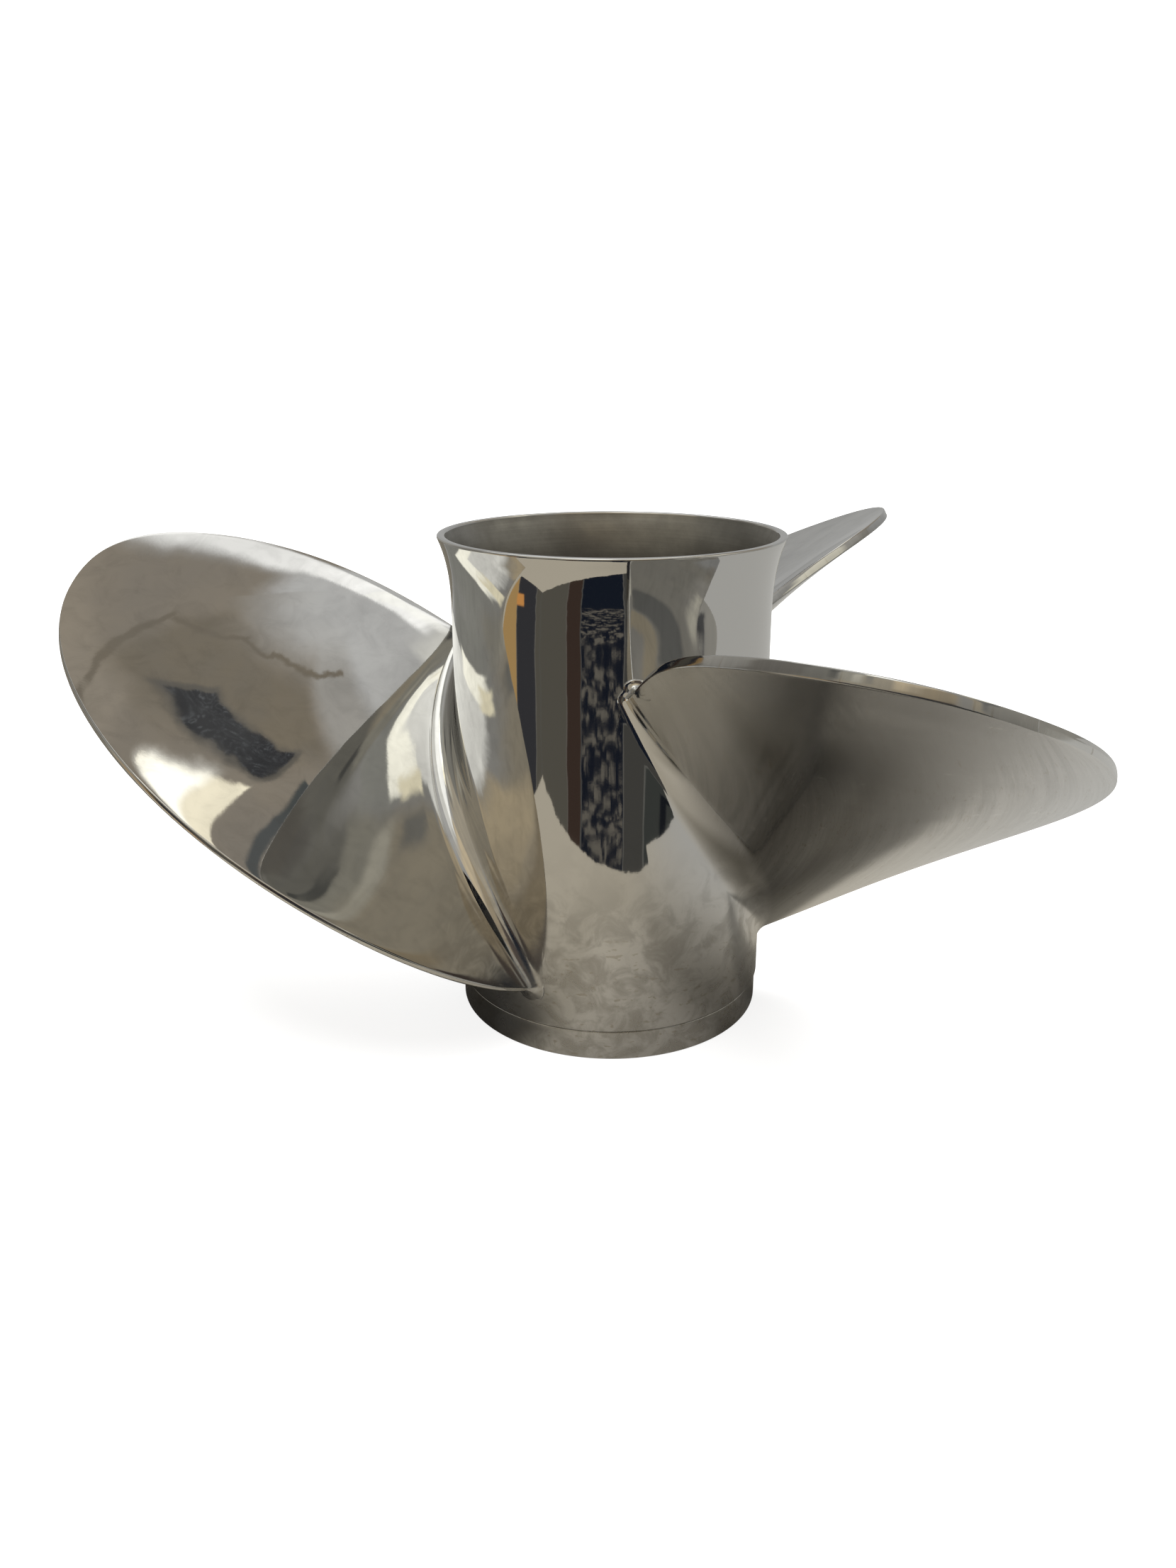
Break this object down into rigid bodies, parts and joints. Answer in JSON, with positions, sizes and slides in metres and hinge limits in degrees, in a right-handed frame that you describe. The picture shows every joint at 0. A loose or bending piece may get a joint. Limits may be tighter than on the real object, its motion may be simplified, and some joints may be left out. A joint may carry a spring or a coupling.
{
  "type": "marine propeller",
  "caption": "Left-hand outboard propeller with raked blades on a hollow flared barrel that passes exhaust, and a splined rubber-cushioned hub.",
  "frame": {"origin": "centroid of the solids, on the shaft axis, 87 mm above the forward end", "axes": "+Z along the shaft axis, aft, towards the flared rim"},
  "size_m": [0.3421, 0.3636, 0.1812],
  "materials": {
    "polished_steel": "polished, worn satin on the blades",
    "cast_steel": "dull as-cast, stained",
    "rubber": "matt moulded",
    "brass": "machined"
  },
  "bodies": {
    "root": {"barrel": "polished_steel", "blade_1": "polished_steel", "blade_2": "polished_steel", "blade_3": "polished_steel", "inner_hub": "cast_steel", "hub_rib_1": "cast_steel", "hub_rib_2": "cast_steel", "hub_rib_3": "cast_steel", "rubber_bush": "rubber", "spline_sleeve": "brass"}
  },
  "joints": []
}
